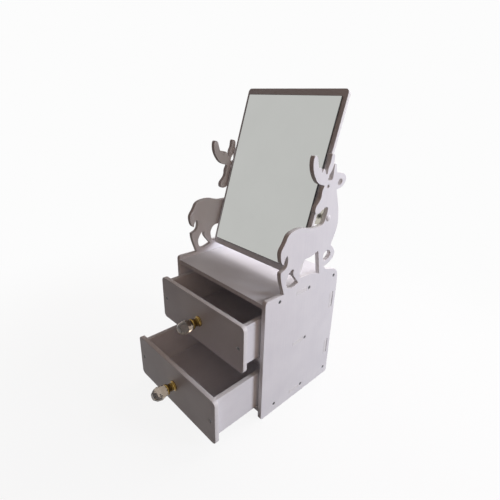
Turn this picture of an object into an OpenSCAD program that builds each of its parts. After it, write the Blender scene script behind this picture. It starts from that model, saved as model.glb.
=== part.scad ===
// Vanity box with a tilting mirror: a flat-pack kit of foam-board panels.
// Two reindeer-shaped side panels carry three plates, a back panel and a mirror,
// and two drawers with crystal knobs slide on the plates.
// Drawn with the drawers pulled out and the mirror leaning back.
// +X is to the right, +Y to the back and +Z up, in millimetres.

/* [Boards] */
// Thickness of the boards of the box and the drawers
board_t = 6; // [4:0.5:9]
// Outside width over both side panels
box_w = 184; // [150:1:240]
// Depth of the side panels
box_d = 147; // [138:1:190]
// Height of the bottom plate's underside above the table
bottom_z = 9.5; // [3:0.5:30]
// Height of the side panels' edge above the top plate
rim_h = 5.5; // [2:0.5:12]
// Setback of the plates behind the side panels' front edges
plate_setback = 1; // [0:0.5:6]
// Setback of the top and bottom plates from the side panels' back edges
plate_back_setback = 4; // [0:0.5:6]
// Setback of the back panel's rear face from the side panels' back edges
back_setback = 7.5; // [6.5:0.5:14]

/* [Tabs and screws of the box] */
// Length of a plate's tab along the depth
plate_tab_l = 20; // [10:1:30]
// Distance of a plate tab's middle behind the front edge
plate_tab_y = 67; // [45:1:90]
// Height of a tab of the back panel
back_tab_h = 25; // [10:1:40]
// Distance between the middles of the back panel's two tabs
back_tab_pitch = 81; // [50:1:100]
// Play of a tab in its slot
tab_play = 0.1; // [0.05:0.05:0.4]
// Gap that is left in the back panel's slots behind its tabs
back_slot_gap = 1.3; // [0:0.1:1.5]
// Distance of the front screws behind the front edge
screw_front_y = 25; // [12:1:35]
// Distance of the middle screws behind the plates' tabs
screw_from_tab = 5; // [4:0.5:20]
// Distance of the rear screws in front of the back edge
screw_back_y = 10; // [8:0.5:14]

/* [Wood screws] */
// Radius of a wood screw's shank
screw_r = 1.5; // [1:0.1:1.8]
// Radius of a wood screw's flat head
screw_head_r = 2.4; // [2.2:0.1:3.4]
// Length of a wood screw
screw_l = 19; // [13:1:28]
// Depth of a head below the board's face
screw_sink = 0.5; // [0:0.1:0.8]
// Play around a screw or a bolt in its hole
screw_play = 0.1; // [0.05:0.05:0.3]

/* [Drawers] */
// Height of a drawer's front board
front_h = 66; // [50:1:100]
// Setback of a front board's ends from the side panels' outer faces
front_reveal = 4; // [0.5:0.5:7]
// Radius of a front board's corners
front_corner_r = 6; // [1:0.5:12]
// Free height between the lower front board and the middle shelf
lower_headroom = 16; // [2:1:40]
// Free height between the upper front board and the top plate
upper_headroom = 12; // [2:1:40]
// Drop of a drawer's sides below the top of its front board
side_drop = 4.3; // [1:0.1:15]
// Gap between a drawer and each side panel
drawer_side_gap = 4.5; // [1:0.5:8]
// Gap between the back panel and a drawer that is pushed in
drawer_rear_gap = 3.5; // [1:0.5:20]
// Gap between a drawer and the plate that it slides on
drawer_floor_gap = 0.2; // [0.1:0.1:1]
// Length of the tabs that hold a drawer's bottom
floor_tab_l = 24; // [10:1:60]
// Depth of those tabs in the drawer's sides
floor_tab_depth = 3; // [1:0.5:3.5]
// How far the upper drawer is pulled out
upper_pull = 24; // [1:1:90]
// How far the lower drawer is pulled out
lower_pull = 68; // [1:1:90]

/* [Knobs] */
// Radius of the brass foot on the front board
knob_foot_r = 7.4; // [6:0.1:9]
// Radius of the brass neck
knob_neck_r = 4.4; // [3:0.1:5]
// Radius of the brass cup under the crystal
knob_cup_r = 7.4; // [6.6:0.1:8]
// Length of the brass base
knob_base_l = 12.5; // [11:0.5:15]
// Depth of the crystal's seat in the brass cup
crystal_seat = 2; // [1:0.1:2.2]
// Largest radius of the crystal
crystal_r = 9.5; // [9:0.5:14]
// Length of the crystal in front of the brass base
crystal_l = 19; // [12:0.5:26]
// Number of facets around the crystal
crystal_facets = 10; // [8:2:12]
// Radius of the machine screw that holds the knob
knob_screw_r = 2; // [1.5:0.1:2.4]
// Height of that screw's head inside the drawer
knob_screw_head_h = 2.2; // [1:0.1:3]

/* [Mirror] */
// Height of the mirror's backing board
mirror_h = 234; // [180:1:280]
// Thickness of the backing board
mirror_board_t = 5; // [3.5:0.5:8]
// Radius of the backing board's corners
mirror_corner_r = 5; // [1:0.5:15]
// Gap between the backing board and each side panel
mirror_side_gap = 1; // [0.5:0.25:4]
// Border of the board beside the glass
border_side = 6; // [3:0.5:20]
// Border of the board above and below the glass
border_end = 9; // [3:0.5:25]
// Thickness of the mirror glass
glass_t = 2; // [1.5:0.5:5]
// Radius of the glass's corners
glass_corner_r = 1.5; // [0.5:0.5:10]
// Thickness of the sticky pads behind the glass
pad_t = 0.4; // [0.2:0.1:1.5]
// Lean of the mirror to the back, in degrees
lean = 17.6; // [0:0.2:30]
// Height of the mirror's pivots above the side panels' edge
pivot_up = 81; // [80:0.5:88]
// Distance of the pivots behind the front edge
pivot_y = 108; // [107:0.5:120]
// Distance of the pivots behind the backing board
pivot_behind = 15; // [12:0.5:20]
// Height of the pivots above the backing board's lower edge
pivot_from_edge = 82.5; // [60:0.5:83]

/* [Mirror pivots] */
// Radius of a pivot bolt
bolt_r = 2; // [1.5:0.1:2.5]
// Height of a pivot bolt's low head
bolt_head_h = 2; // [1:0.1:3]
// Running play of a bracket around its bolt
pivot_play = 0.05; // [0.02:0.01:0.09]
// Gap between a bracket and the washer or the nut beside it
pivot_gap = 0.2; // [0.1:0.05:0.4]
// Thickness of the steel brackets
bracket_t = 1.5; // [1:0.1:2]
// Height of a bracket
bracket_h = 22; // [18:1:36]
// Width of a bracket's plate on the backing board
bracket_w = 18; // [12:1:26]
// Radius of a bracket's round end
bracket_end_r = 7; // [5:0.5:8]
// Radius of the short screws that hold the brackets
bracket_screw_r = 1.4; // [1:0.1:1.7]

/* [Hidden] */
$fn = 48;
EPS = 0.01;
FAR = 50;            // a cut longer than half of any edge of an outline
CURVE_STEPS = 4;     // straight pieces in one rounded corner of an outline

// The box: openings, levels and the back panel
inner_w = box_w - 2 * board_t;
inner_x = inner_w / 2;
outer_x = box_w / 2;
lower_opening_h = front_h - board_t + lower_headroom;
upper_opening_h = front_h - board_t + upper_headroom;
shelf_z = bottom_z + board_t + lower_opening_h;
top_z = shelf_z + board_t + upper_opening_h;
rim_z = top_z + board_t + rim_h;
plate_end_y = box_d - plate_back_setback;
back_front_y = box_d - back_setback - board_t;
back_z = bottom_z + board_t;
back_h = top_z - back_z;
back_tab_z = [for (s = [-1, 1]) back_z + (back_h + s * back_tab_pitch - back_tab_h) / 2];

// Screws and their holes
screw_mid_y = plate_tab_y + plate_tab_l / 2 + screw_from_tab;
screw_ys = [screw_front_y, screw_mid_y, box_d - screw_back_y];
screw_tip_l = 2.5;
screw_tip_r = 0.3;
screw_hole_r = screw_r + screw_play;
screw_head_l = screw_head_r - screw_r;
hole_spare = 0.6;                               // free depth of a hole past its screw
blind_l = screw_sink + screw_l - board_t + hole_spare;   // hole in a second board's edge
recess_l = screw_head_r * 1.2;                  // cross recess in a screw's head
recess_w = 0.8;
recess_deep = 1;

// Drawers
front_w = box_w - 2 * front_reveal;
drawer_w = inner_w - 2 * drawer_side_gap;
drawer_l = back_front_y - drawer_rear_gap;
drawer_side_l = drawer_l - board_t;
front_low_z = -board_t - drawer_floor_gap;      // lower edge of a front board
front_mid_z = front_low_z + front_h / 2;
drawer_side_h = front_low_z + front_h - side_drop;
drawer_side_x = (drawer_w - board_t) / 2;       // middle of a side board
floor_w = drawer_w - 2 * board_t;
floor_tab_y = (drawer_side_l - floor_tab_l) / 2;
upper_floor_z = shelf_z + board_t + drawer_floor_gap;
lower_floor_z = bottom_z + board_t + drawer_floor_gap;

// Knobs
foot_h = 1.6;
cup_l = 5.5;
cup_z = knob_base_l - cup_l;                    // where the neck has begun to widen
cup_wall = 1.2;
knob_screw_in = 5;                              // length of the screw inside the brass
knob_screw_head_r = knob_screw_r * 1.9;
glue_gap = 0.1;
knob_reach = knob_base_l + crystal_l;

// Mirror and its pivots
mirror_w = inner_w - 2 * mirror_side_gap;
glass_w = mirror_w - 2 * border_side;
glass_h = mirror_h - 2 * border_end;
board_mid_z = mirror_h / 2 - pivot_from_edge;   // from the pivots
board_front_y = -pivot_behind - mirror_board_t;
pad_w = 20;
pivot_z = rim_z + pivot_up;
bolt_head_r = bolt_r * 2;
bolt_end = 1;                                   // how far a bolt stands out of its nut
ear_x = mirror_w / 2;                           // outer face of a bracket's ear
washer_t = mirror_side_gap - pivot_gap;
washer_r = bolt_r * 2.5;
nut_x = ear_x - bracket_t - pivot_gap;          // outer face of a pivot nut
nut_t = 5;
nut_r = bolt_r * 1.95;
bracket_screw_x = ear_x - bracket_w / 2;
bracket_screw_edge = 5;                         // from a bracket's end to its screw
bracket_screw_z = bracket_h / 2 - bracket_screw_edge;
bracket_screw_in = mirror_board_t * 0.8;
bracket_screw_head_r = bracket_screw_r * 1.85;
bracket_screw_head_h = 1.6;

// The origin lies on the table under the middle of the whole outline
front_reach = max(lower_pull, upper_pull) + board_t + knob_reach;
origin_y = (box_d - front_reach) / 2;

// ---- Places -----------------------------------------------------------------

// Puts what is measured from the side panels' front edges into the frame.
module in_box() {
    translate([0, -origin_y, 0])
        children();
}

// In a drawer, y = 0 is its front board's rear face and z = 0 its underside.
module in_upper_drawer() {
    in_box()
        translate([0, -upper_pull, upper_floor_z])
            children();
}

module in_lower_drawer() {
    in_box()
        translate([0, -lower_pull, lower_floor_z])
            children();
}

// Stands what is drawn on z = 0 on the outer face of a front board.
module on_front() {
    translate([0, -board_t, front_mid_z])
        rotate([90, 0, 0])
            children();
}

module at_pivot() {
    in_box()
        translate([0, pivot_y, pivot_z])
            children();
}

// Leans back what is drawn upright around the mirror's pivot axis.
module leant() {
    at_pivot()
        rotate([-lean, 0, 0])
            children();
}

module both_sides() {
    for (side = [0, 1])
        mirror([side, 0, 0])
            children();
}

// Turns the z axis to run from a side panel's outer face into the box.
module into_side(x, y, z) {
    translate([x, y, z])
        rotate([0, -90, 0])
            children();
}

// ---- Outlines ---------------------------------------------------------------

// An outline is a list of corners [y, z, cut]. A curve replaces each corner: it
// starts and ends 'cut' away from it, and at most half way along each edge.
function toward(p, q, cut) =
    let (d = [q[0] - p[0], q[1] - p[1]])
    [p[0], p[1]] + d * min(cut / norm(d), 0.5);

function curve(a, p, b) =
    p[2] == 0 ? [[p[0], p[1]]] :
    let (s = toward(p, a, p[2]), e = toward(p, b, p[2]))
    [for (k = [0 : CURVE_STEPS])
        let (t = k / CURVE_STEPS)
        (1 - t) * (1 - t) * s + 2 * t * (1 - t) * [p[0], p[1]] + t * t * e];

function smooth(corners) =
    let (
        n = len(corners),
        all = [for (i = [0 : n - 1])
            each curve(corners[(i + n - 1) % n], corners[i], corners[(i + 1) % n])],
        m = len(all)
    )
    [for (i = [0 : m - 1]) if (norm(all[i] - all[(i + m - 1) % m]) > EPS) all[i]];

module rounded_rect(w, h, r) {
    square([w - 2 * r, h], center = true);
    square([w, h - 2 * r], center = true);
    for (x = [-1, 1], y = [-1, 1])
        translate([x * (w / 2 - r), y * (h / 2 - r)])
            circle(r);
}

// ---- Wood screws ------------------------------------------------------------

// A countersunk hole that starts at z = 0 and goes up through a board.
module screw_hole() {
    translate([0, 0, -EPS])
        cylinder(r = screw_hole_r, h = board_t + 2 * EPS);
    translate([0, 0, -EPS])
        cylinder(r = screw_head_r + screw_play, h = screw_sink + EPS);
    translate([0, 0, screw_sink])
        cylinder(r1 = screw_head_r + screw_play, r2 = screw_hole_r, h = screw_head_l);
}

// The screw that fits that hole, with a cross recess in its head.
module wood_screw() {
    difference() {
        translate([0, 0, screw_sink]) {
            cylinder(r1 = screw_head_r, r2 = screw_r, h = screw_head_l);
            cylinder(r = screw_r, h = screw_l - screw_tip_l);
            translate([0, 0, screw_l - screw_tip_l])
                cylinder(r1 = screw_r, r2 = screw_tip_r, h = screw_tip_l);
        }
        for (a = [0, 90])
            rotate([0, 0, a])
                translate([-recess_l / 2, -recess_w / 2, screw_sink - EPS])
                    cube([recess_l, recess_w, recess_deep + EPS]);
    }
}

// ---- Side panels ------------------------------------------------------------
// The reindeer's heights are measured from the panel's straight upper edge.

rear_corner_cut = 18;
front_corner_cut = 5;
foot_corner_cut = 4;

deer_outline = [
    // the slope up from the rear corner to the raised hoof
    [121, 6, FAR], [114, 9, FAR], [110.3, 13.6, 0],
    // raised foreleg, chest and neck
    [121, 16, FAR], [130, 21, FAR], [132.5, 29, FAR], [127, 37, FAR], [119.5, 42, FAR],
    [126, 51, FAR], [132, 66, FAR], [131, 84, FAR], [126.5, 99, FAR], [120, 115.8, 1.5],
    // ear
    [131, 116.8, FAR], [137.5, 122, FAR], [140, 129, FAR], [133, 135, FAR], [117, 137.4, 2.5],
    // rear tine and the slot in front of it
    [113.8, 148.5, 2], [110.8, 148.3, 1.5], [109.6, 140, FAR], [110, 130, FAR],
    [104, 128.6, FAR], [99.2, 129.5, FAR], [100.8, 135.5, FAR], [107, 141.5, FAR],
    // middle antler
    [109.2, 148, FAR], [109.4, 159, 3.5], [103, 161.5, FAR], [101.8, 150, FAR],
    [98.4, 146, FAR], [97, 136.6, 1.5], [94, 138, FAR],
    // two short tines
    [92, 143.6, FAR], [88.8, 144.6, 0.8], [86.4, 139.8, 1], [84.5, 146.4, FAR],
    [79.6, 145.6, 1.5],
    // long front antler and the forehead
    [77, 154, FAR], [75, 160.6, FAR], [68.6, 161, FAR], [67.8, 149, FAR],
    [72, 138, FAR], [80.5, 127.6, FAR], [93.8, 124, 1.5],
    // face, muzzle and throat
    [89.8, 118, FAR], [89.6, 110, FAR], [85.5, 104.5, FAR], [79, 99, FAR], [80, 91, FAR],
    [89, 90.4, FAR], [95, 95, FAR], [105.5, 97.5, FAR], [105.3, 88, FAR], [100.5, 76, FAR],
    // back, rump and tail
    [95, 73.2, FAR], [73, 73.8, FAR], [62, 78.4, FAR], [48, 79.2, FAR], [33.5, 76.6, FAR],
    [28.5, 66, FAR], [21.8, 58.5, FAR], [21.6, 51, FAR], [24, 42, FAR], [28.2, 39.2, 0.6],
    // the slit under the tail and the hind leg
    [29, 45, FAR], [33.6, 51.8, FAR], [35.8, 43, FAR], [33.5, 33.5, FAR], [23.4, 30.4, 1.5],
    [24, 21, FAR], [31.6, -0.8, 0.3]
];

deer_holes = [
    // between the hind legs
    [[34.4, 16, FAR], [36.5, 21.5, FAR], [42.5, 29.8, FAR], [48.3, 28.2, FAR],
     [44.8, 23, FAR], [57.8, 7, 1.2], [44.2, 2.6, FAR], [36, 6.2, FAR]],
    // under the belly
    [[58.4, 26.8, FAR], [65, 36, FAR], [80, 35.6, FAR], [93.8, 40.2, 1.5],
     [97.5, 24, FAR], [100.8, 5.6, 0.5], [86, 11.6, FAR], [60.8, 12, 1], [59, 19, FAR]],
    // in the bend of the raised foreleg
    [[105.4, 28, FAR], [108.5, 35, FAR], [118, 35.8, FAR],
     [124, 28, FAR], [117.5, 22, FAR], [109, 20.8, FAR]],
    // in the ear
    [[120.8, 121.4, FAR], [121.8, 127.5, FAR], [130, 129, FAR],
     [131.6, 122.8, FAR], [125.5, 119.8, FAR]]
];
deer_eye = [101.5, 122.2];
deer_eye_r = 2.2;

function above_rim(corners) = [for (c = corners) c + [0, rim_z, 0]];

module deer_panel_2d() {
    difference() {
        polygon(smooth([
            [0, 0, foot_corner_cut], [box_d, 0, foot_corner_cut],
            [box_d, rim_z, rear_corner_cut],
            each above_rim(deer_outline),
            [0, rim_z, front_corner_cut]]));
        for (hole = deer_holes)
            polygon(smooth(above_rim(hole)));
        translate(deer_eye + [0, rim_z])
            circle(deer_eye_r);
    }
}

// Where wood screws enter a side panel, as [y, z].
panel_screws = [
    for (y = screw_ys, z = [bottom_z, top_z]) [y, z + board_t / 2],
    [screw_mid_y, shelf_z + board_t / 2]
];

// The right-hand panel; the left-hand one is its mirror image.
module side_panel() {
    slot_x = inner_x - EPS;
    through = board_t + 2 * EPS;
    difference() {
        translate([inner_x, 0, 0])
            rotate([90, 0, 90])
                linear_extrude(board_t)
                    deer_panel_2d();
        for (z = [bottom_z, shelf_z, top_z])
            translate([slot_x, plate_tab_y - plate_tab_l / 2 - tab_play, z - tab_play])
                cube([through, plate_tab_l + 2 * tab_play, board_t + 2 * tab_play]);
        for (z = back_tab_z)
            translate([slot_x, back_front_y - tab_play, z - tab_play])
                cube([through, board_t + 2 * tab_play + back_slot_gap,
                      back_tab_h + 2 * tab_play]);
        for (p = panel_screws)
            into_side(outer_x, p[0], p[1])
                screw_hole();
        into_side(outer_x + EPS, pivot_y, pivot_z)
            cylinder(r = bolt_r + screw_play, h = through);
    }
}

module side_panel_right() {
    color("whitesmoke") in_box() side_panel();
}

module side_panel_left() {
    color("whitesmoke") in_box() mirror([1, 0, 0]) side_panel();
}

module carcass_screws() {
    color("gray") in_box() both_sides()
        for (p = panel_screws)
            into_side(outer_x, p[0], p[1])
                wood_screw();
}

// ---- Plates and back panel --------------------------------------------------

// A plate between the side panels, with a tab and screw holes at each end.
module plate(z, y_end, hole_ys) {
    difference() {
        union() {
            translate([-inner_x, plate_setback, z])
                cube([inner_w, y_end - plate_setback, board_t]);
            translate([-outer_x, plate_tab_y - plate_tab_l / 2, z])
                cube([box_w, plate_tab_l, board_t]);
        }
        both_sides()
            for (y = hole_ys)
                into_side(inner_x + EPS, y, z + board_t / 2)
                    cylinder(r = screw_hole_r, h = blind_l);
    }
}

module top_plate() {
    color("whitesmoke") in_box() plate(top_z, plate_end_y, screw_ys);
}

module middle_shelf() {
    color("whitesmoke") in_box() plate(shelf_z, back_front_y, [screw_mid_y]);
}

module bottom_plate() {
    color("whitesmoke") in_box() plate(bottom_z, plate_end_y, screw_ys);
}

module back_panel() {
    color("whitesmoke") in_box() {
        translate([-inner_x, back_front_y, back_z])
            cube([inner_w, board_t, back_h]);
        for (z = back_tab_z)
            translate([-outer_x, back_front_y, z])
                cube([box_w, board_t, back_tab_h]);
    }
}

// ---- Drawers ----------------------------------------------------------------

module drawer_front() {
    difference() {
        translate([0, 0, front_mid_z])
            rotate([90, 0, 0])
                linear_extrude(board_t)
                    rounded_rect(front_w, front_h, front_corner_r);
        for (s = [-1, 1])
            translate([s * drawer_side_x, -board_t, front_mid_z])
                rotate([-90, 0, 0])
                    screw_hole();
        translate([0, EPS, front_mid_z])
            rotate([90, 0, 0])
                cylinder(r = knob_screw_r + screw_play, h = board_t + 2 * EPS);
    }
}

// The right-hand side board; the left-hand one is its mirror image.
module drawer_side() {
    inside_x = drawer_w / 2 - board_t;
    difference() {
        translate([inside_x, 0, 0])
            cube([board_t, drawer_side_l, drawer_side_h]);
        translate([inside_x - EPS, floor_tab_y - tab_play, -EPS])
            cube([floor_tab_depth + tab_play + EPS, floor_tab_l + 2 * tab_play,
                  board_t + tab_play + EPS]);
        for (y = [-EPS, drawer_side_l + EPS - blind_l])
            translate([drawer_side_x, y, front_mid_z])
                rotate([-90, 0, 0])
                    cylinder(r = screw_hole_r, h = blind_l);
    }
}

module drawer_back() {
    difference() {
        translate([-drawer_w / 2, drawer_side_l, 0])
            cube([drawer_w, board_t, drawer_side_h]);
        for (s = [-1, 1])
            translate([s * drawer_side_x, drawer_l, front_mid_z])
                rotate([90, 0, 0])
                    screw_hole();
    }
}

module drawer_bottom() {
    translate([-floor_w / 2, 0, 0])
        cube([floor_w, drawer_side_l, board_t]);
    translate([-floor_w / 2 - floor_tab_depth, floor_tab_y, 0])
        cube([floor_w + 2 * floor_tab_depth, floor_tab_l, board_t]);
}

module drawer_screws() {
    for (s = [-1, 1]) {
        translate([s * drawer_side_x, -board_t, front_mid_z])
            rotate([-90, 0, 0])
                wood_screw();
        translate([s * drawer_side_x, drawer_l, front_mid_z])
            rotate([90, 0, 0])
                wood_screw();
    }
}

module upper_drawer_front() {
    color("whitesmoke") in_upper_drawer() drawer_front();
}

module upper_drawer_left_side() {
    color("whitesmoke") in_upper_drawer() mirror([1, 0, 0]) drawer_side();
}

module upper_drawer_right_side() {
    color("whitesmoke") in_upper_drawer() drawer_side();
}

module upper_drawer_back() {
    color("whitesmoke") in_upper_drawer() drawer_back();
}

module upper_drawer_bottom() {
    color("whitesmoke") in_upper_drawer() drawer_bottom();
}

module upper_drawer_screws() {
    color("gray") in_upper_drawer() drawer_screws();
}

module lower_drawer_front() {
    color("whitesmoke") in_lower_drawer() drawer_front();
}

module lower_drawer_left_side() {
    color("whitesmoke") in_lower_drawer() mirror([1, 0, 0]) drawer_side();
}

module lower_drawer_right_side() {
    color("whitesmoke") in_lower_drawer() drawer_side();
}

module lower_drawer_back() {
    color("whitesmoke") in_lower_drawer() drawer_back();
}

module lower_drawer_bottom() {
    color("whitesmoke") in_lower_drawer() drawer_bottom();
}

module lower_drawer_screws() {
    color("gray") in_lower_drawer() drawer_screws();
}

// ---- Knobs ------------------------------------------------------------------

// Brass base: a round foot, a narrow neck and a flared cup for the crystal.
module knob_base() {
    difference() {
        rotate_extrude()
            polygon([
                [0, 0], [0.97 * knob_foot_r, 0], [knob_foot_r, foot_h / 2],
                [0.94 * knob_foot_r, foot_h], [1.2 * knob_neck_r, 1.4 * foot_h],
                [knob_neck_r, 2 * foot_h], [knob_neck_r, cup_z - 0.4 * cup_l],
                [1.2 * knob_neck_r, cup_z], [0.91 * knob_cup_r, cup_z + 0.25 * cup_l],
                [knob_cup_r, cup_z + 0.5 * cup_l], [knob_cup_r, knob_base_l],
                [0, knob_base_l]]);
        translate([0, 0, knob_base_l - crystal_seat])
            cylinder(r = knob_cup_r - cup_wall, h = crystal_seat + EPS);
        translate([0, 0, -EPS])
            cylinder(r = knob_screw_r + screw_play, h = knob_screw_in + hole_spare);
    }
}

// Cut crystal: rings of corners turned by half a facet from one to the next,
// on a round stub that is glued into the brass cup.
module knob_crystal() {
    rings = [[0.72, 0], [0.84, 0.15], [1, 0.48], [0.87, 0.78], [0.5, 1]];
    stub_z = knob_base_l - crystal_seat + glue_gap;
    body_z = knob_base_l + glue_gap;
    translate([0, 0, stub_z])
        cylinder(r = knob_cup_r - cup_wall - glue_gap, h = body_z + crystal_seat / 2 - stub_z);
    hull()
        for (i = [0 : len(rings) - 1])
            translate([0, 0, body_z + rings[i][1] * (crystal_l - glue_gap - EPS)])
                rotate([0, 0, i * 180 / crystal_facets])
                    cylinder(r = crystal_r * rings[i][0], h = EPS, $fn = crystal_facets);
}

// Machine screw from inside the drawer into the brass base.
module knob_screw() {
    translate([0, 0, -board_t - knob_screw_head_h])
        cylinder(r = knob_screw_head_r, h = knob_screw_head_h);
    translate([0, 0, -board_t - EPS])
        cylinder(r = knob_screw_r, h = board_t + knob_screw_in + EPS);
}

module upper_knob_base() {
    color("goldenrod") in_upper_drawer() on_front() knob_base();
}

module upper_knob_crystal() {
    color("lightcyan") in_upper_drawer() on_front() knob_crystal();
}

module upper_knob_screw() {
    color("silver") in_upper_drawer() on_front() knob_screw();
}

module lower_knob_base() {
    color("goldenrod") in_lower_drawer() on_front() knob_base();
}

module lower_knob_crystal() {
    color("lightcyan") in_lower_drawer() on_front() knob_crystal();
}

module lower_knob_screw() {
    color("silver") in_lower_drawer() on_front() knob_screw();
}

// ---- Mirror -----------------------------------------------------------------

// A slab with rounded corners in front of the plane y.
module upright_slab(w, h, r, y, t) {
    translate([0, y, board_mid_z])
        rotate([90, 0, 0])
            linear_extrude(t)
                rounded_rect(w, h, r);
}

module mirror_board() {
    color("whitesmoke") leant()
        difference() {
            upright_slab(mirror_w, mirror_h, mirror_corner_r, -pivot_behind, mirror_board_t);
            both_sides()
                for (s = [-1, 1])
                    translate([bracket_screw_x, EPS - pivot_behind, s * bracket_screw_z])
                        rotate([90, 0, 0])
                            cylinder(r = bracket_screw_r + screw_play, h = bracket_screw_in + hole_spare);
        }
}

module mirror_glass() {
    color("silver") leant()
        upright_slab(glass_w, glass_h, glass_corner_r, board_front_y - pad_t, glass_t);
}

// Four strips of sticky foam between the board and the glass.
module mirror_pads() {
    color("white") leant()
        for (x = [-1, 1], z = [-1, 1])
            translate([x * glass_w / 4, board_front_y, board_mid_z + z * glass_h / 4])
                rotate([90, 0, 0])
                    linear_extrude(pad_t)
                        square([pad_w, glass_h / 3], center = true);
}

// Angle bracket: a plate on the board's rear face and an ear around the bolt.
module bracket() {
    ear_z = bracket_h / 2;
    bend_y = -pivot_behind / 2;
    difference() {
        union() {
            translate([ear_x - bracket_w, -pivot_behind, -ear_z])
                cube([bracket_w, bracket_t, bracket_h]);
            translate([ear_x - bracket_t, 0, 0])
                rotate([90, 0, 90])
                    linear_extrude(bracket_t)
                        polygon([
                            [-pivot_behind, -ear_z], [bend_y, -ear_z],
                            [0, -bracket_end_r], [0, bracket_end_r],
                            [bend_y, ear_z], [-pivot_behind, ear_z]]);
            into_side(ear_x, 0, 0)
                cylinder(r = bracket_end_r, h = bracket_t);
        }
        into_side(ear_x + EPS, 0, 0)
            cylinder(r = bolt_r + pivot_play, h = bracket_t + 2 * EPS);
        for (s = [-1, 1])
            translate([bracket_screw_x, -pivot_behind - EPS, s * bracket_screw_z])
                rotate([-90, 0, 0])
                    cylinder(r = bracket_screw_r + screw_play, h = bracket_t + 2 * EPS);
    }
}

module mirror_bracket_right() {
    color("silver") leant() bracket();
}

module mirror_bracket_left() {
    color("silver") leant() mirror([1, 0, 0]) bracket();
}

module bracket_screws() {
    color("silver") leant() both_sides()
        for (s = [-1, 1])
            translate([bracket_screw_x, bracket_t - pivot_behind, s * bracket_screw_z]) {
                rotate([-90, 0, 0])
                    cylinder(r = bracket_screw_head_r, h = bracket_screw_head_h);
                translate([0, EPS, 0])
                    rotate([90, 0, 0])
                        cylinder(r = bracket_screw_r, h = bracket_t + bracket_screw_in + EPS);
            }
}

// ---- Pivots of the mirror ---------------------------------------------------

// A bolt through each side panel, with its low head outside.
module pivot_bolts() {
    shank_l = outer_x - nut_x + nut_t + bolt_end;
    color("white") at_pivot() both_sides()
        into_side(outer_x, 0, 0) {
            translate([0, 0, -bolt_head_h])
                cylinder(r = bolt_head_r, h = bolt_head_h);
            translate([0, 0, -EPS])
                cylinder(r = bolt_r, h = shank_l + EPS);
        }
}

module pivot_washers() {
    color("silver") at_pivot() both_sides()
        into_side(inner_x, 0, 0)
            difference() {
                cylinder(r = washer_r, h = washer_t);
                translate([0, 0, -EPS])
                    cylinder(r = bolt_r + screw_play, h = washer_t + 2 * EPS);
            }
}

module pivot_nuts() {
    color("silver") at_pivot() both_sides()
        into_side(nut_x, 0, 0)
            difference() {
                cylinder(r = nut_r, h = nut_t, $fn = 6);
                translate([0, 0, -EPS])
                    cylinder(r = bolt_r + pivot_play, h = nut_t + 2 * EPS);
            }
}

// ---- Drawing ----------------------------------------------------------------

side_panel_left();
side_panel_right();
top_plate();
middle_shelf();
bottom_plate();
back_panel();
carcass_screws();
upper_drawer_front();
upper_drawer_left_side();
upper_drawer_right_side();
upper_drawer_back();
upper_drawer_bottom();
upper_drawer_screws();
upper_knob_base();
upper_knob_crystal();
upper_knob_screw();
lower_drawer_front();
lower_drawer_left_side();
lower_drawer_right_side();
lower_drawer_back();
lower_drawer_bottom();
lower_drawer_screws();
lower_knob_base();
lower_knob_crystal();
lower_knob_screw();
mirror_board();
mirror_glass();
mirror_pads();
mirror_bracket_left();
mirror_bracket_right();
bracket_screws();
pivot_bolts();
pivot_washers();
pivot_nuts();
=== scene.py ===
# A vanity box of white foam board: two reindeer-shaped side panels, three plates and
# a back panel, two drawers on crystal knobs, and a mirror that tilts between the deer.
import math

import bmesh
import bpy
import numpy as np
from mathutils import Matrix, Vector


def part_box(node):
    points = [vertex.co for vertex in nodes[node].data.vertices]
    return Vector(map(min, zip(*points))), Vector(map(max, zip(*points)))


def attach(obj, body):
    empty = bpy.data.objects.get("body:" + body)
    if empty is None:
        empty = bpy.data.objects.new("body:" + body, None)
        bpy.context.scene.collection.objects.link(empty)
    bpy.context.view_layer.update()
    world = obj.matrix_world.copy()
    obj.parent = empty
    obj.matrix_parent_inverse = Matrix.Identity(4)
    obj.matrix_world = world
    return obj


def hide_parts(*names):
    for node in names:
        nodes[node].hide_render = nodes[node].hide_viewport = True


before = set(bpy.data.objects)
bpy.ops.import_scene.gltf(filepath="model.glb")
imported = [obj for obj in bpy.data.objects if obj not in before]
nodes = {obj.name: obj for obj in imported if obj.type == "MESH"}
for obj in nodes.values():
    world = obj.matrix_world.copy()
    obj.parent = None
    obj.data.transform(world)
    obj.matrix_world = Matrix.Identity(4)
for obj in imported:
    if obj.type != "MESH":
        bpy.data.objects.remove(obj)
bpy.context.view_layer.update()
scene = bpy.context.scene
MM = 0.001

# ---- Camera -------------------------------------------------------------------
# The photograph is taken from the front right and a little above, close to the box.
# The camera's place, turn and focal length are solved from the boards' straight edges.

camera = bpy.data.objects.new("camera", bpy.data.cameras.new("camera"))
camera.location = (0.3430, -0.29055, 0.3996)
camera.rotation_euler = [math.radians(a) for a in (67.488, -1.255, 46.507)]
camera.data.sensor_width = 36
camera.data.lens = 26.42
scene.collection.objects.link(camera)
scene.camera = camera

# ---- Side panels --------------------------------------------------------------
# Two mirrored panels of 6 mm white PVC foam board, milled out along the deer's
# outline. Their edges are broken with fine abrasive paper after milling.

BOARD_EASE = 0.35 * MM


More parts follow.
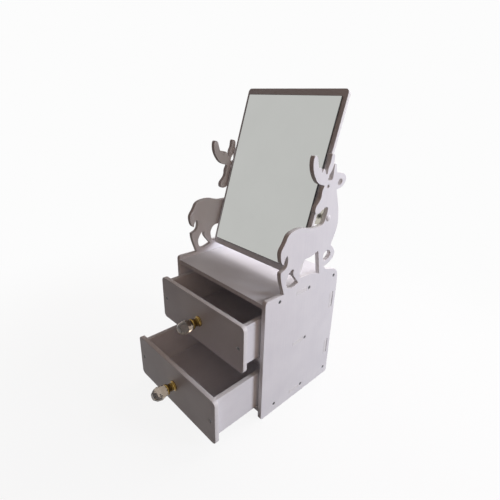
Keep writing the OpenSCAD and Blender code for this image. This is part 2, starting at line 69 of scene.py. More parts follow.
def eased(node, name, ease, sharp_degrees=35):
    """A copy of a CAD node in which each edge sharper than sharp_degrees is rounded to
    the radius ease in three steps. Its loose triangles are merged, and those in one plane
    are joined. The rounding and the curved walls are shaded smooth, and the rest flat."""
    same_point, same_plane = 1e-6, math.radians(0.5)
    sharp, flat = math.radians(sharp_degrees), math.radians(1)
    mesh = nodes[node].data.copy()
    mesh.name = name
    mesh.materials.clear()
    shape = bmesh.new()
    shape.from_mesh(mesh)
    bmesh.ops.remove_doubles(shape, verts=shape.verts, dist=same_point)
    bmesh.ops.dissolve_limit(shape, verts=shape.verts, edges=shape.edges,
                             angle_limit=same_plane)
    bmesh.ops.recalc_face_normals(shape, faces=shape.faces)
    bend = {edge: edge.calc_face_angle() for edge in shape.edges}
    for face in shape.faces:
        face.smooth = any(flat < bend[edge] < sharp for edge in face.edges)
    corners = [edge for edge in shape.edges if bend[edge] > sharp]
    rounded = bmesh.ops.bevel(shape, geom=corners, offset=ease, segments=3, profile=0.5,
                              affect="EDGES", clamp_overlap=False)
    for face in rounded["faces"]:
        face.smooth = True
    shape.to_mesh(mesh)
    shape.free()
    piece = bpy.data.objects.new(name, mesh)
    scene.collection.objects.link(piece)
    return piece


def dress(piece, material, body, slot, *replaced):
    """Gives a piece its material and says what it rides on and which nodes it stands for."""
    piece.data.materials.append(material)
    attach(piece, body)
    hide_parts(*replaced)


def linear(hex_colour):
    """An sRGB colour such as #E8E4E9 as linear red, green, blue and alpha."""
    srgb = np.array([int(hex_colour[i:i + 2], 16) for i in (1, 3, 5)]) / 255
    rgb = np.where(srgb <= 0.04045, srgb / 12.92, ((srgb + 0.055) / 1.055) ** 2.4)
    return (*rgb.tolist(), 1.0)


def new_tree(name):
    """A new material and its empty node tree."""
    material = bpy.data.materials.new(name)
    material.use_nodes = True
    material.node_tree.nodes.clear()
    return material, material.node_tree


def add(tree, kind, inputs, **settings):
    """Adds a node with its settings. An input is a value, or an output linked to it. A Mix
    node's are 0 for its factor, and 2 and 3 for two values or 6 and 7 for two colours."""
    node = tree.nodes.new(kind)
    for name, value in settings.items():
        setattr(node, name, value)
    for name, value in inputs.items():
        if isinstance(value, bpy.types.NodeSocket):
            tree.links.new(value, node.inputs[name])
        else:
            node.inputs[name].default_value = value
    return node


def foam_board(name, thin, grain, turn=0.0):
    """White PVC foam board: a satin skin with faint rolling streaks and an orange-peel
    surface, and matt milled edges where the foam's fine cells and the cutter's marks
    show. thin and grain are the axes across the board and along its streaks, 0 to 2,
    and turn is the board's lean around the X axis."""
    skin, skin_shade = linear("#E9E8EB"), linear("#E2E1E5")
    cut, cut_shade = linear("#EBEAEA"), linear("#E3E1E3")
    # rubbed is the worn corners' grey; the dark colour after it is painted shade for narrow gaps.
    rubbed, dust_and_gap_shade = linear("#CBC7C9"), linear("#55504F")
    across = [0.0, 0.0, 0.0]
    across[thin] = 1.0
    across = (across[0], across[1] * math.cos(turn) - across[2] * math.sin(turn),
              across[1] * math.sin(turn) + across[2] * math.cos(turn))
    streak = [1.6 * MM] * 3             # the real ones are finer; these are as wide as shows
    streak[grain] = 45 * MM
    mill_mark = [0.9 * MM] * 3
    mill_mark[thin] = 12 * MM

    # The value flat is the cosine of the tilt away from the board's faces: 1 on them, and
    # 0 on the cuts.
    material, tree = new_tree(name)
    where = add(tree, "ShaderNodeTexCoord", {})
    place = where.outputs["Object"]
    facing = add(tree, "ShaderNodeVectorMath", {0: where.outputs["Normal"], 1: across},
                 operation="DOT_PRODUCT")
    flat = add(tree, "ShaderNodeMath", {0: facing.outputs["Value"]}, operation="ABSOLUTE")
    on_cut = add(tree, "ShaderNodeMapRange",
                 {"Value": flat.outputs[0], "From Min": 0.75, "From Max": 0.45})
    off_face = add(tree, "ShaderNodeMapRange",
                   {"Value": flat.outputs[0], "From Min": 0.995, "From Max": 0.85})
    on_corner = add(tree, "ShaderNodeMath", {0: off_face.outputs[0], 1: on_cut.outputs[0]},
                    operation="SUBTRACT")

    # The faces' colour: soft clouds with the roller's streaks.
    cloud = add(tree, "ShaderNodeTexNoise", {"Vector": place, "Scale": 1 / (38 * MM), "Detail": 3.0})
    along = add(tree, "ShaderNodeMapping",
                {"Vector": place, "Rotation": (turn, 0, 0), "Scale": streak}, vector_type="TEXTURE")
    rolled = add(tree, "ShaderNodeTexNoise",
                 {"Vector": along.outputs[0], "Scale": 1.0, "Detail": 4.0, "Roughness": 0.6})
    uneven = add(tree, "ShaderNodeMix",
                 {0: 0.35, 2: cloud.outputs["Fac"], 3: rolled.outputs["Fac"]}, data_type="FLOAT")
    depth = add(tree, "ShaderNodeMapRange",
                {"Value": uneven.outputs[0], "From Min": 0.38, "From Max": 0.66})
    face_tone = add(tree, "ShaderNodeMix", {0: depth.outputs[0], 6: skin, 7: skin_shade},
                    data_type="RGBA")

    # The cuts' colour: the cutter's marks, straight across the board.
    marks = add(tree, "ShaderNodeMapping",
                {"Vector": place, "Rotation": (turn, 0, 0), "Scale": mill_mark},
                vector_type="TEXTURE")
    milled = add(tree, "ShaderNodeTexNoise",
                 {"Vector": marks.outputs[0], "Scale": 1.0, "Detail": 2.0})
    milled_depth = add(tree, "ShaderNodeMapRange",
                       {"Value": milled.outputs["Fac"], "From Min": 0.35, "From Max": 0.7})
    cut_tone = add(tree, "ShaderNodeMix", {0: milled_depth.outputs[0], 6: cut, 7: cut_shade},
                   data_type="RGBA")
    board_tone = add(tree, "ShaderNodeMix",
                     {0: on_cut.outputs[0], 6: face_tone.outputs[2], 7: cut_tone.outputs[2]},
                     data_type="RGBA")

    # Wear: hands leave a faint grey along the eased corners, in patches.
    patches = add(tree, "ShaderNodeTexNoise", {"Vector": place, "Scale": 1 / (9 * MM), "Detail": 4.0})
    patch_depth = add(tree, "ShaderNodeMapRange",
                      {"Value": patches.outputs["Fac"], "From Min": 0.45, "From Max": 0.7,
                       "To Max": 0.7})
    rub = add(tree, "ShaderNodeMath", {0: on_corner.outputs[0], 1: patch_depth.outputs[0]},
              operation="MULTIPLY")
    worn_tone = add(tree, "ShaderNodeMix", {0: rub.outputs[0], 6: board_tone.outputs[2], 7: rubbed},
                    data_type="RGBA")

    # Painted shade: the colour goes dark grey in gaps of a millimetre or two, in the slots and around
    # the screws.
    openness = add(tree, "ShaderNodeAmbientOcclusion", {"Distance": 3 * MM}, samples=8)
    painted_gap_shade = add(tree, "ShaderNodeMapRange",
                 {"Value": openness.outputs["AO"], "From Min": 0.45, "From Max": 0.15,
                  "To Max": 0.85})
    tone = add(tree, "ShaderNodeMix", {0: painted_gap_shade.outputs[0], 6: worn_tone.outputs[2], 7: dust_and_gap_shade},
               data_type="RGBA")

    # Gloss and relief: a satin, dimpled skin and matt, furrowed cuts.
    sheen = add(tree, "ShaderNodeMapRange",
                {"Value": cloud.outputs["Fac"], "From Min": 0.3, "From Max": 0.7,
                 "To Min": 0.36, "To Max": 0.46})
    dull = add(tree, "ShaderNodeMix", {0: on_cut.outputs[0], 2: sheen.outputs[0], 3: 0.72},
               data_type="FLOAT")
    peel = add(tree, "ShaderNodeTexNoise", {"Vector": place, "Scale": 1 / (2.2 * MM), "Detail": 2.0})
    skin_relief = add(tree, "ShaderNodeMix",
                      {0: 0.25, 2: peel.outputs["Fac"], 3: rolled.outputs["Fac"]}, data_type="FLOAT")
    relief = add(tree, "ShaderNodeMix",
                 {0: on_cut.outputs[0], 2: skin_relief.outputs[0], 3: milled.outputs["Fac"]},
                 data_type="FLOAT")
    bump = add(tree, "ShaderNodeBump",
               {"Strength": 0.4, "Distance": 0.02 * MM, "Height": relief.outputs[0]})
    board = add(tree, "ShaderNodeBsdfPrincipled",
                {"Base Color": tone.outputs[2], "Roughness": dull.outputs[0],
                 "Normal": bump.outputs[0], "IOR": 1.45, "Specular IOR Level": 0.25})
    add(tree, "ShaderNodeOutputMaterial", {"Surface": board.outputs[0]})
    return material


X, Y, Z = 0, 1, 2
side_board = foam_board("foam_board_side_panels", thin=X, grain=Z)
for side in ("left", "right"):
    panel = eased(f"side_panel_{side}", f"deer_panel_{side}", BOARD_EASE)
    dress(panel, side_board, "box", "foam_board", f"side_panel_{side}")
    panel.visible_glossy = False        # so that the mirror shows one even grey

# ---- Plates and back panel ----------------------------------------------------
# Three plates and the back panel of the same board. Their tabs stick in the side
# panels' slots and end flush with the outer faces.

plate_board = foam_board("foam_board_plates", thin=Z, grain=X)
for plate in ("top_plate", "middle_shelf", "bottom_plate"):
    dress(eased(plate, f"{plate}_board", BOARD_EASE), plate_board, "box", "foam_board", plate)

back_board = foam_board("foam_board_back_panel", thin=Y, grain=Z)
dress(eased("back_panel", "back_panel_board", BOARD_EASE), back_board, "box", "foam_board",
      "back_panel")

# ---- Screws of the box --------------------------------------------------------
# Countersunk wood screws of zinc-plated steel with a cross recess, driven through
# the side panels into the plates until the heads lie just below the surface.

SCREW_EASE = 0.1 * MM


def zinc_plate(name):
    """Zinc on steel, barrel plated: a cool grey metal, dull in its gloss, with a fine, uneven
    cloud in it and darker spots where the plating has oxidised. Both greys are painted shade,
    far darker than zinc, for heads sunk in their holes."""
    # Painted shade: both greys are far darker than zinc.
    bright, dull = linear("#707275"), linear("#404246")
    material, tree = new_tree(name)
    where = add(tree, "ShaderNodeTexCoord", {})
    cloud = add(tree, "ShaderNodeTexNoise",
                {"Vector": where.outputs["Object"], "Scale": 1 / (1.4 * MM), "Detail": 4.0})
    spots = add(tree, "ShaderNodeMapRange",
                {"Value": cloud.outputs["Fac"], "From Min": 0.45, "From Max": 0.7})
    tone = add(tree, "ShaderNodeMix", {0: spots.outputs[0], 6: bright, 7: dull}, data_type="RGBA")
    gloss = add(tree, "ShaderNodeMapRange",
                {"Value": cloud.outputs["Fac"], "From Min": 0.3, "From Max": 0.7,
                 "To Min": 0.28, "To Max": 0.45})
    bump = add(tree, "ShaderNodeBump",
               {"Strength": 0.3, "Distance": 0.02 * MM, "Height": cloud.outputs["Fac"]})
    metal = add(tree, "ShaderNodeBsdfPrincipled",
                {"Base Color": tone.outputs[2], "Metallic": 1.0, "Roughness": gloss.outputs[0],
                 "Normal": bump.outputs[0]})
    add(tree, "ShaderNodeOutputMaterial", {"Surface": metal.outputs[0]})
    return material


zinc = zinc_plate("zinc_plated_steel")
dress(eased("carcass_screws", "box_screws", SCREW_EASE), zinc, "box", "zinc_steel",
      "carcass_screws")

# ---- Drawers ------------------------------------------------------------------
# Each drawer is a front with rounded corners, two sides, a back and a bottom of the
# same foam board, screwed through the front and the back into the sides.

front_board = foam_board("foam_board_drawer_fronts", thin=Y, grain=X)
drawer_side_board = foam_board("foam_board_drawer_sides", thin=X, grain=Y)
floor_board = foam_board("foam_board_drawer_bottoms", thin=Z, grain=Y)
drawer_boards = {"front": front_board, "back": front_board, "bottom": floor_board,
                 "left_side": drawer_side_board, "right_side": drawer_side_board}
for level in ("upper", "lower"):
    for part, board in drawer_boards.items():
        node = f"{level}_drawer_{part}"
        dress(eased(node, f"{node}_board", BOARD_EASE), board, f"{level}_drawer", "foam_board",
              node)
    node = f"{level}_drawer_screws"
    dress(eased(node, f"{level}_drawer_wood_screws", SCREW_EASE), zinc, f"{level}_drawer",
          "zinc_steel", node)
    node = f"{level}_knob_screw"
    dress(eased(node, f"{level}_knob_machine_screw", SCREW_EASE), zinc, f"{level}_drawer",
          "zinc_steel", node)

# ---- Knob bases ---------------------------------------------------------------
# A brass base, turned on a lathe and lacquered: a round foot on the drawer front, a
# narrow neck with a bead, and a cup with a round rim that holds the crystal.


def half_round(start, end, radius, bulge, steps=12):
    """Half an ellipse from (start, radius) to (end, radius) of a profile, whose middle
    is further out by bulge: the place along runs with minus the cosine, and the radius
    with the sine of an angle from 0 to 180 degrees."""
    t = np.linspace(0, math.pi, steps)
    middle, reach = (start + end) / 2, (end - start) / 2
    return np.column_stack([middle - reach * np.cos(t), radius + bulge * np.sin(t)])


def cove(start, end, from_radius, to_radius, steps=10):
    """A quarter ellipse of a profile that starts straight towards the axis and ends along
    it: the place along runs with one minus the cosine, and the radius with the sine."""
    t = np.linspace(0, math.pi / 2, steps)
    along = start + (end - start) * (1 - np.cos(t))
    return np.column_stack([along, from_radius + (to_radius - from_radius) * np.sin(t)])


def turned(name, profile, *places, segments=72):
    """A surface turned around a level axis, once for each place, which is the axis's foot
    and direction. The profile's point (along, radius) goes to the foot, plus along times
    the direction, plus radius times (the sine of an angle times the level direction across
    the axis, plus its cosine times Z). The UV map holds the length along the profile and
    around the widest rim, in metres. Bends of 40 degrees and more stay sharp."""
    same_point, crease = 1e-7, math.radians(40)
    angle = np.linspace(0, 2 * math.pi, segments, endpoint=False)[:, None]
    along, radius = profile[:, :1, None], profile[:, 1:, None]
    up = np.array([0.0, 0.0, 1.0])
    rings = [np.array(foot) + along * np.array(axis)
             + radius * (np.sin(angle) * np.cross(axis, up) + np.cos(angle) * up)
             for foot, axis in places]
    point = np.arange(len(places) * len(profile) * segments)
    point = point.reshape(len(places), len(profile), segments)
    beside = np.roll(point, -1, axis=2)
    faces = np.stack([point[:, :-1], beside[:, :-1], beside[:, 1:], point[:, 1:]], axis=-1)
    mesh = bpy.data.meshes.new(name)
    mesh.from_pydata(np.concatenate(rings).reshape(-1, 3), [], faces.reshape(-1, 4).tolist())

    step = np.linalg.norm(np.diff(profile, axis=0), axis=1)
    length = np.concatenate([[0], np.cumsum(step)])
    around = np.arange(segments + 1) * (2 * math.pi / segments) * profile[:, 1].max()
    uv = np.stack(np.meshgrid(length, around, indexing="ij"), axis=-1)
    corners = np.stack([uv[:-1, :-1], uv[:-1, 1:], uv[1:, 1:], uv[1:, :-1]], axis=2)
    mesh.uv_layers.new(name="turned").data.foreach_set("uv", np.tile(corners.ravel(), len(places)))

    shape = bmesh.new()
    shape.from_mesh(mesh)
    bmesh.ops.remove_doubles(shape, verts=shape.verts, dist=same_point)
    bmesh.ops.recalc_face_normals(shape, faces=shape.faces)
    for face in shape.faces:
        face.smooth = True
    for edge in shape.edges:
        edge.smooth = len(edge.link_faces) == 2 and edge.calc_face_angle() < crease
    shape.to_mesh(mesh)
    shape.free()
    piece = bpy.data.objects.new(name, mesh)
    scene.collection.objects.link(piece)
    return piece


def lacquered_brass(name):
    """Turned brass under clear lacquer: warm yellow metal with fine lathe rings, browner
    in clouds, and a few cloudy spots in the gloss."""
    # Painted reflection in part: both are darker than polished brass, as if it mirrored a dim room;
    # the brown is also tarnish.
    bright, brown = linear("#94773A"), linear("#4C3A17")
    material, tree = new_tree(name)
    where = add(tree, "ShaderNodeTexCoord", {})
    ring = add(tree, "ShaderNodeMapping",
               {"Vector": where.outputs["UV"], "Scale": (0.22 * MM, 6 * MM, 1)},
               vector_type="TEXTURE")
    lathe = add(tree, "ShaderNodeTexNoise",
                {"Vector": ring.outputs[0], "Scale": 1.0, "Detail": 2.0})
    cloud = add(tree, "ShaderNodeTexNoise",
                {"Vector": where.outputs["Object"], "Scale": 1 / (3 * MM), "Detail": 3.0})
    age = add(tree, "ShaderNodeMapRange",
              {"Value": cloud.outputs["Fac"], "From Min": 0.4, "From Max": 0.75})
    tone = add(tree, "ShaderNodeMix", {0: age.outputs[0], 6: bright, 7: brown}, data_type="RGBA")
    gloss = add(tree, "ShaderNodeMapRange",
                {"Value": cloud.outputs["Fac"], "From Min": 0.3, "From Max": 0.7,
                 "To Min": 0.22, "To Max": 0.36})
    bump = add(tree, "ShaderNodeBump",
               {"Strength": 0.4, "Distance": 0.02 * MM, "Height": lathe.outputs["Fac"]})
    metal = add(tree, "ShaderNodeBsdfPrincipled",
                {"Base Color": tone.outputs[2], "Metallic": 1.0, "Roughness": gloss.outputs[0],
                 "Normal": bump.outputs[0], "Coat Weight": 0.3, "Coat Roughness": 0.08})
    add(tree, "ShaderNodeOutputMaterial", {"Surface": metal.outputs[0]})
    return material


brass = lacquered_brass("lacquered_brass")
# Places and radii are shares of the base's length, from the drawer front outwards.
base_profile = np.concatenate([
    [[0, 0]],
    half_round(0.0, 0.13, 0.54, 0.05),              # the round foot
    cove(0.14, 0.30, 0.53, 0.42),                   # the hollow down to the neck
    half_round(0.33, 0.40, 0.42, 0.03),             # the bead
    cove(0.78, 0.42, 0.55, 0.42)[::-1],             # the cup, which widens
    half_round(0.79, 1.0, 0.55, 0.042),             # its round rim
    [[1.0, 0.497], [0.85, 0.497], [0.85, 0]],       # the seat of the crystal's stub
])
for level in ("upper", "lower"):
    low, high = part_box(f"{level}_knob_base")
    foot = ((low.x + high.x) / 2, high.y, (low.z + high.z) / 2)
    base = turned(f"{level}_knob_brass", base_profile * (high.y - low.y), (foot, (0, -1, 0)))
    dress(base, brass, f"{level}_drawer", "brass", f"{level}_knob_base")

# ---- Knob crystals ------------------------------------------------------------
# A clear pressed and polished crystal with three rings of facets and a flat table,
# glued into the cup by a short round stub.


def clear_crystal(name):
    """Lead crystal, cut and polished: clear and bright, with light that breaks in each facet,
    and the finest polishing haze in places. Its brownish grey tint is painted shade: it dims
    the white seen through it."""
    material, tree = new_tree(name)
    where = add(tree, "ShaderNodeTexCoord", {})
    haze = add(tree, "ShaderNodeTexNoise",
               {"Vector": where.outputs["Object"], "Scale": 1 / (4 * MM), "Detail": 3.0})
    gloss = add(tree, "ShaderNodeMapRange",
                {"Value": haze.outputs["Fac"], "From Min": 0.4, "From Max": 0.75,
                 "To Min": 0.01, "To Max": 0.05})
    crystal = add(tree, "ShaderNodeBsdfPrincipled",
                  # Painted shade: the brownish grey dims the white seen through the crystal.
                  {"Base Color": linear("#A09385"), "Roughness": gloss.outputs[0],
                   "IOR": 1.55, "Transmission Weight": 1.0})
    add(tree, "ShaderNodeOutputMaterial", {"Surface": crystal.outputs[0]})
    return material


CRYSTAL_EASE = 0.15 * MM
FACET_DEGREES = 12                      # neighbouring facets bend by more than this

crystal_glass = clear_crystal("cut_crystal")
for level in ("upper", "lower"):
    crystal = eased(f"{level}_knob_crystal", f"{level}_knob_cut_crystal", CRYSTAL_EASE,
                    sharp_degrees=FACET_DEGREES)
    crystal.data.shade_flat()
    dress(crystal, crystal_glass, f"{level}_drawer", "crystal", f"{level}_knob_crystal")

# ---- Mirror's backing board ---------------------------------------------------
# A 5 mm foam board with rounded corners that leans back on its two pivots. It stands
# out around the glass as a plain border.

LEAN = math.radians(17.6)

leaning_board = foam_board("foam_board_mirror", thin=Y, grain=Z, turn=-LEAN)
dress(eased("mirror_board", "mirror_backing", BOARD_EASE), leaning_board, "mirror",
      "foam_board", "mirror_board")

# ---- Mirror glass and its pads ------------------------------------------------
# A 2 mm mirror with ground edges, silvered, stuck on the board by strips of foam
# tape. Its even grey is a painted reflection, set in the silver's colour.


def silvered_glass(name):
    """Silvered float glass: an even grey reflection that is painted into the silver's colour,
    a faint film of dust that dulls it in clouds, and a dark green, matt edge where the ground
    glass shows, darkened over the whole arris as painted shade."""
    # Painted reflection: both greys lie far below silver's white, to show the room's grey.
    painted_grey_silver, film = linear("#C1C2BF"), linear("#BCBDBA")
    # The dark green is the ground edge's own colour, and painted shade where it covers the arris.
    ground_edge_and_shade = linear("#3A403E")
    across = (0.0, -math.cos(LEAN), math.sin(LEAN))

    # The value flat is the cosine of the tilt away from the mirror's face: 0 on its edge.
    material, tree = new_tree(name)
    where = add(tree, "ShaderNodeTexCoord", {})
    facing = add(tree, "ShaderNodeVectorMath", {0: where.outputs["Normal"], 1: across},
                 operation="DOT_PRODUCT")
    flat = add(tree, "ShaderNodeMath", {0: facing.outputs["Value"]}, operation="ABSOLUTE")
    # on_edge takes in the ground edge and its whole arris, so a dark line of painted shade borders
    # the glass.
    on_edge = add(tree, "ShaderNodeMapRange",
                  {"Value": flat.outputs[0], "From Min": 0.995, "From Max": 0.93})
    dust_and_gap_shade = add(tree, "ShaderNodeTexNoise",
               {"Vector": where.outputs["Object"], "Scale": 1 / (45 * MM), "Detail": 5.0})
    tone = add(tree, "ShaderNodeMix", {0: dust_and_gap_shade.outputs["Fac"], 6: painted_grey_silver, 7: film},
               data_type="RGBA")
    glass_tone = add(tree, "ShaderNodeMix", {0: on_edge.outputs[0], 6: tone.outputs[2], 7: ground_edge_and_shade},
                     data_type="RGBA")
    gloss = add(tree, "ShaderNodeMapRange",
                {"Value": dust_and_gap_shade.outputs["Fac"], "From Min": 0.4, "From Max": 0.7,
                 "To Min": 0.015, "To Max": 0.05})
    dull = add(tree, "ShaderNodeMix", {0: on_edge.outputs[0], 2: gloss.outputs[0], 3: 0.35},
               data_type="FLOAT")
    metallic = add(tree, "ShaderNodeMath", {0: 1.0, 1: on_edge.outputs[0]},
                   operation="SUBTRACT")
    mirror = add(tree, "ShaderNodeBsdfPrincipled",
                 {"Base Color": glass_tone.outputs[2], "Metallic": metallic.outputs[0],
                  "Roughness": dull.outputs[0]})
    add(tree, "ShaderNodeOutputMaterial", {"Surface": mirror.outputs[0]})
    return material


def foam_tape(name):
    """Double-sided polyethylene foam tape: white, matt and finely bubbled."""
    pale, shade = linear("#E4E3DF"), linear("#CFCDC8")
    material, tree = new_tree(name)
    where = add(tree, "ShaderNodeTexCoord", {})
    cells = add(tree, "ShaderNodeTexVoronoi",
                {"Vector": where.outputs["Object"], "Scale": 1 / (0.8 * MM)})
    tone = add(tree, "ShaderNodeMix", {0: cells.outputs["Distance"], 6: pale, 7: shade},
               data_type="RGBA")
    bump = add(tree, "ShaderNodeBump",
               {"Strength": 0.5, "Distance": 0.05 * MM, "Height": cells.outputs["Distance"]})
    foam = add(tree, "ShaderNodeBsdfPrincipled",
               {"Base Color": tone.outputs[2], "Roughness": 0.85, "Normal": bump.outputs[0]})
    add(tree, "ShaderNodeOutputMaterial", {"Surface": foam.outputs[0]})
    return material


GROUND_ARRIS, TAPE_EASE = 0.5 * MM, 0.05 * MM
dress(eased("mirror_glass", "mirror_silvered_glass", GROUND_ARRIS),
      silvered_glass("silvered_glass"), "mirror", "mirror_glass", "mirror_glass")
dress(eased("mirror_pads", "mirror_foam_tape", TAPE_EASE), foam_tape("foam_tape"), "mirror",
      "foam_tape", "mirror_pads")

# ---- Brackets and pivots ------------------------------------------------------
# Angle brackets of nickel-plated steel are screwed on the board's back. Each turns on
# a bolt through the deer's neck, between a thin washer and a nut. The bolts are of
# white enamelled steel, turned with a low domed head.


def nickel_plate(name):
    """Bright nickel on pressed steel: a warm, clear gloss with the faint lines of rolling
    in it and a few cloudy spots."""
    bright, cloudy = linear("#CBC7BD"), linear("#A9A498")
    material, tree = new_tree(name)
    where = add(tree, "ShaderNodeTexCoord", {})
    along = add(tree, "ShaderNodeMapping",
                {"Vector": where.outputs["Object"], "Scale": (0.5 * MM, 0.5 * MM, 9 * MM)},
                vector_type="TEXTURE")
    rolled = add(tree, "ShaderNodeTexNoise",
                 {"Vector": along.outputs[0], "Scale": 1.0, "Detail": 3.0})
    cloud = add(tree, "ShaderNodeTexNoise",
                {"Vector": where.outputs["Object"], "Scale": 1 / (4 * MM), "Detail": 3.0})
    tone = add(tree, "ShaderNodeMix", {0: cloud.outputs["Fac"], 6: bright, 7: cloudy},
               data_type="RGBA")
    gloss = add(tree, "ShaderNodeMapRange",
                {"Value": cloud.outputs["Fac"], "From Min": 0.3, "From Max": 0.7,
                 "To Min": 0.16, "To Max": 0.3})
    bump = add(tree, "ShaderNodeBump",
               {"Strength": 0.3, "Distance": 0.01 * MM, "Height": rolled.outputs["Fac"]})
    metal = add(tree, "ShaderNodeBsdfPrincipled",
                {"Base Color": tone.outputs[2], "Metallic": 1.0, "Roughness": gloss.outputs[0],
                 "Normal": bump.outputs[0]})
    add(tree, "ShaderNodeOutputMaterial", {"Surface": metal.outputs[0]})
    return material


def stove_paint(name):
    """White stove enamel on steel: an even satin coat with a fine orange peel."""
    pale, shade = linear("#E6E4E6"), linear("#D9D6D9")
    material, tree = new_tree(name)
    where = add(tree, "ShaderNodeTexCoord", {})
    peel = add(tree, "ShaderNodeTexNoise",
               {"Vector": where.outputs["Object"], "Scale": 1 / (1.2 * MM), "Detail": 3.0})
    tone = add(tree, "ShaderNodeMix", {0: peel.outputs["Fac"], 6: pale, 7: shade},
               data_type="RGBA")
    gloss = add(tree, "ShaderNodeMapRange",
                {"Value": peel.outputs["Fac"], "From Min": 0.3, "From Max": 0.7,
                 "To Min": 0.28, "To Max": 0.4})
    bump = add(tree, "ShaderNodeBump",
               {"Strength": 0.4, "Distance": 0.03 * MM, "Height": peel.outputs["Fac"]})
    paint = add(tree, "ShaderNodeBsdfPrincipled",
                {"Base Color": tone.outputs[2], "Roughness": gloss.outputs[0],
                 "Normal": bump.outputs[0]})
    add(tree, "ShaderNodeOutputMaterial", {"Surface": paint.outputs[0]})
    return material


BRACKET_EASE, WASHER_EASE, NUT_EASE = 0.2 * MM, 0.1 * MM, 0.25 * MM

nickel = nickel_plate("nickel_plated_steel")
for side in ("left", "right"):
    node = f"mirror_bracket_{side}"
    dress(eased(node, f"mirror_angle_{side}", BRACKET_EASE), nickel, "mirror", "nickel_steel", node)
dress(eased("bracket_screws", "bracket_short_screws", SCREW_EASE), nickel, "mirror",
      "nickel_steel", "bracket_screws")
dress(eased("pivot_washers", "neck_washers", WASHER_EASE), nickel, "box", "nickel_steel",
      "pivot_washers")
dress(eased("pivot_nuts", "neck_nuts", NUT_EASE), nickel, "box", "nickel_steel", "pivot_nuts")

BOLT_R, BOLT_HEAD_R, BOLT_HEAD_H = 2 * MM, 4 * MM, 2 * MM
BOLT_TIP = 0.4 * MM                     # the chamfer at the bolt's inner end
BOLT_PAST_NUT = 6 * MM                  # from the nut's outer face to that end
DOME_H = 1.7 * MM                       # the rest of the head's height is a straight rim
DOME_STEPS = 25                         # over twice the dome, of which one half is used
low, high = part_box("pivot_bolts")
inner_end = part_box("pivot_nuts")[1].x - BOLT_PAST_NUT
length = high.x - inner_end
dome = half_round(length - 2 * DOME_H, length, 0, BOLT_HEAD_R, DOME_STEPS)[DOME_STEPS // 2:]
bolt_profile = np.concatenate([
    [[0, 0], [0, BOLT_R - BOLT_TIP], [BOLT_TIP, BOLT_R]],
    [[length - BOLT_HEAD_H, BOLT_R], [length - BOLT_HEAD_H, BOLT_HEAD_R]],
    dome,
])
level_y, level_z = (low.y + high.y) / 2, (low.z + high.z) / 2
bolts = turned("neck_bolts", bolt_profile, ((inner_end, level_y, level_z), (1, 0, 0)),
               ((-inner_end, level_y, level_z), (-1, 0, 0)))
dress(bolts, stove_paint("white_stove_enamel"), "box", "white_steel", "pivot_bolts")

# ---- Studio -------------------------------------------------------------------
# A plain pale floor in a dim room. Soft windows light it from the right and from high
# behind, under the mirror, and weaker, warmer lamps from the left and the front right.
# The camera sees white all around.

WHITE = linear("#FCFCFC")
ROOM_LIGHT = 0.10                       # the dim room's light, as a share of its colour


def seen_directly(tree):
    """1 for rays from the camera, a mirror or glass, and 0 for those that light things."""
    rays = add(tree, "ShaderNodeLightPath", {})
    shiny = add(tree, "ShaderNodeMath",
                {0: rays.outputs["Is Glossy Ray"], 1: rays.outputs["Is Transmission Ray"]},
                operation="MAXIMUM")
    return add(tree, "ShaderNodeMath", {0: rays.outputs["Is Camera Ray"], 1: shiny.outputs[0]},
               operation="MAXIMUM").outputs[0]


room = bpy.data.worlds.new("room")
scene.world = room
room.use_nodes = True
room.node_tree.nodes.clear()
room_light = tuple(ROOM_LIGHT * c for c in linear("#FFE1DB")[:3]) + (1.0,)
room_tone = add(room.node_tree, "ShaderNodeMix",
                {0: seen_directly(room.node_tree), 6: room_light, 7: WHITE}, data_type="RGBA")
backdrop = add(room.node_tree, "ShaderNodeBackground", {"Color": room_tone.outputs[2]})
add(room.node_tree, "ShaderNodeOutputWorld", {"Surface": backdrop.outputs[0]})

FLOOR_HALF = 4.0                        # metres from its middle to a side
NEAR, FAR = 0.25, 0.7                   # metres around the box over which its shadow fades
SHADOW = 0.09                           # how much of the floor's white the lamps give it
corner = np.array([[-1, -1], [1, -1], [1, 1], [-1, 1]]) * FLOOR_HALF
floor_mesh = bpy.data.meshes.new("floor")
floor_mesh.from_pydata(np.column_stack([corner, np.zeros(4)]).tolist(), [], [(0, 1, 2, 3)])
floor = bpy.data.objects.new("floor", floor_mesh)
scene.collection.objects.link(floor)

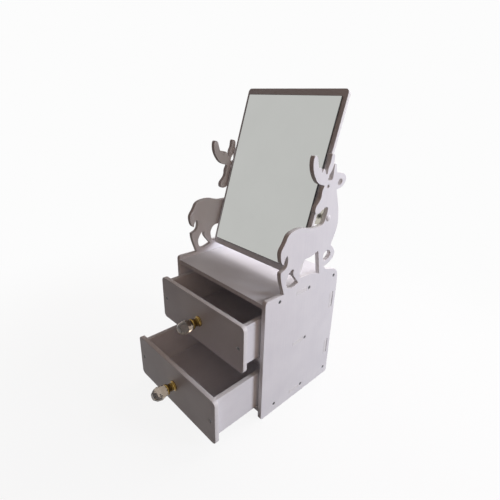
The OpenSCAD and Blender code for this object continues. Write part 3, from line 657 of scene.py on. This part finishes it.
# Far off, the floor is all its own white. Near the box the lamps give a share of it, which
# the box's shadow takes away. It throws little light back on the box, as in the photograph.
paper, tree = new_tree("white_paper_floor")
where = add(tree, "ShaderNodeTexCoord", {})
distance = add(tree, "ShaderNodeVectorMath", {0: where.outputs["Object"]}, operation="LENGTH")
shaded = add(tree, "ShaderNodeMapRange",
             {"Value": distance.outputs["Value"], "From Min": NEAR, "From Max": FAR,
              "To Min": 1.0, "To Max": 0.0}, interpolation_type="SMOOTHSTEP")
own_white = add(tree, "ShaderNodeMapRange",
                {"Value": shaded.outputs[0], "To Min": 1.0, "To Max": 1 - SHADOW})
lit_share = add(tree, "ShaderNodeMix",
                {0: shaded.outputs[0], 6: (0, 0, 0, 1), 7: (SHADOW, SHADOW, SHADOW, 1)},
                data_type="RGBA")
glow = add(tree, "ShaderNodeEmission", {"Color": WHITE, "Strength": own_white.outputs[0]})
shadow = add(tree, "ShaderNodeBsdfDiffuse", {"Color": lit_share.outputs[2]})
shown = add(tree, "ShaderNodeAddShader", {0: glow.outputs[0], 1: shadow.outputs[0]})
plain = add(tree, "ShaderNodeBsdfDiffuse", {"Color": linear("#3E3B39")})
surface = add(tree, "ShaderNodeMixShader",
              {0: seen_directly(tree), 1: plain.outputs[0], 2: shown.outputs[0]})
add(tree, "ShaderNodeOutputMaterial", {"Surface": surface.outputs[0]})
floor_mesh.materials.append(paper)


def soft_light(name, azimuth, elevation, distance, size, power, colour, aim=(0, 0.05, 0.15)):
    """A square area light that shines at the point aim and is given back. Seen from there
    it stands at an azimuth from +X towards +Y and at an elevation, both in degrees."""
    a, e = math.radians(azimuth), math.radians(elevation)
    direction = np.array([math.cos(e) * math.cos(a), math.cos(e) * math.sin(a), math.sin(e)])
    light = bpy.data.lights.new(name, "AREA")
    light.size = size
    light.energy = power
    light.color = linear(colour)[:3]
    lamp = bpy.data.objects.new(name, light)
    lamp.location = np.array(aim) + distance * direction
    lamp.rotation_euler = (math.pi / 2 - e, 0, a + math.pi / 2)
    lamp.visible_camera = False
    scene.collection.objects.link(lamp)
    return lamp


soft_light("window", azimuth=27, elevation=18, distance=1.6, size=0.6, power=17,
           colour="#EEF3FF")
soft_light("rear_window", azimuth=86, elevation=40, distance=1.1, size=1.0, power=10.5,
           colour="#FFF9FA")
left_side = soft_light("left_side", azimuth=168, elevation=3, distance=1.6, size=0.8, power=9,
                       colour="#FFF4EC")
room_side = soft_light("room_side", azimuth=-15, elevation=22, distance=0.9, size=0.7, power=1.1,
                       colour="#FFD9BC")
for lamp in (left_side, room_side):
    lamp.visible_glossy = False         # they would stand in the mirror as bright squares

scene.view_settings.view_transform = "Standard"
